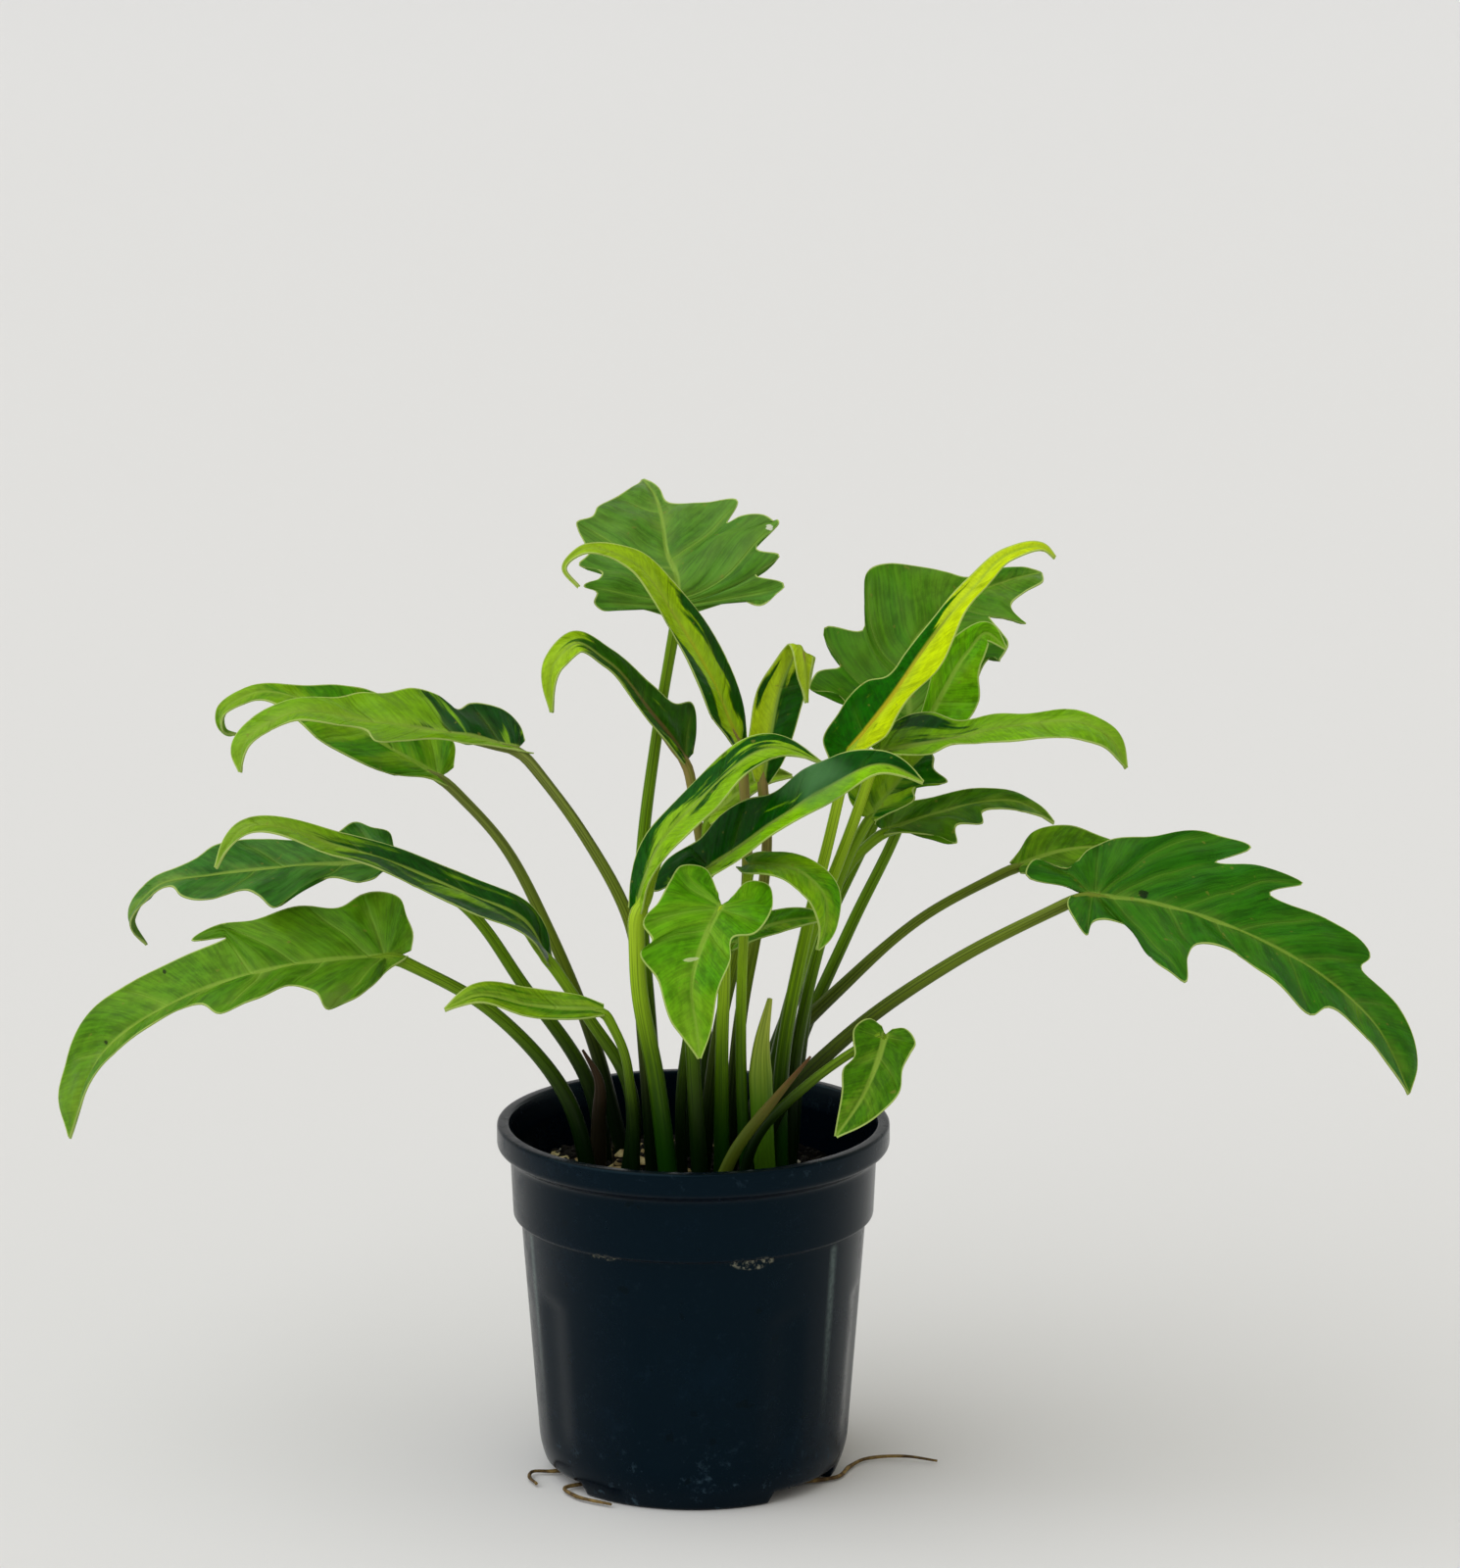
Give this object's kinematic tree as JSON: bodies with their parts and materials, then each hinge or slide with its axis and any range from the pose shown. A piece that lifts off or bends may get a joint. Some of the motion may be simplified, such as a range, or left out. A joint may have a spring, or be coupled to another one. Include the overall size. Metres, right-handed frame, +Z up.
{
  "type": "potted variegated philodendron",
  "caption": "Variegated lobed-leaf philodendron with long green petioles, growing in a dark fluted nursery pot",
  "frame": {"origin": "centre of the pot's foot, on the surface it stands on", "axes": "+Z up along the pot's axis, +X along the plant's spread to the right, -Y towards its front"},
  "size_m": [0.5166, 0.2076, 0.3691],
  "materials": {
    "pot": "satin, scuffed",
    "soil": "crumbly, rough",
    "leaf": "glossy, variegated",
    "sheath": "papery",
    "dry_sheath": "papery, dry",
    "root": "matt"
  },
  "bodies": {
    "root": {"pot": "pot", "soil": "soil", "leaf_far_left": "leaf", "leaf_left_dark": "leaf", "leaf_left_strap": "leaf", "leaf_upper_left_back": "leaf", "leaf_upper_left_front": "leaf", "leaf_top_broad": "leaf", "leaf_top_strap": "leaf", "leaf_top_hooked": "leaf", "leaf_centre_folded": "leaf", "leaf_centre_hidden": "leaf", "leaf_front_striped": "leaf", "leaf_front_dark": "leaf", "leaf_front_heart": "leaf", "leaf_front_drooping": "leaf", "leaf_front_narrow": "leaf", "leaf_rim_arrow": "leaf", "leaf_left_small": "leaf", "leaf_upper_right_back": "leaf", "leaf_upper_right_yellow": "leaf", "leaf_upper_right_green": "leaf", "leaf_right_level": "leaf", "leaf_right_lobed": "leaf", "leaf_right_olive": "leaf", "leaf_right_small": "leaf", "leaf_far_right": "leaf", "sheath_pale": "sheath", "sheath_brown": "dry_sheath", "bract_dry": "dry_sheath", "root_right": "root", "root_left": "root", "root_front": "root"}
  },
  "joints": []
}
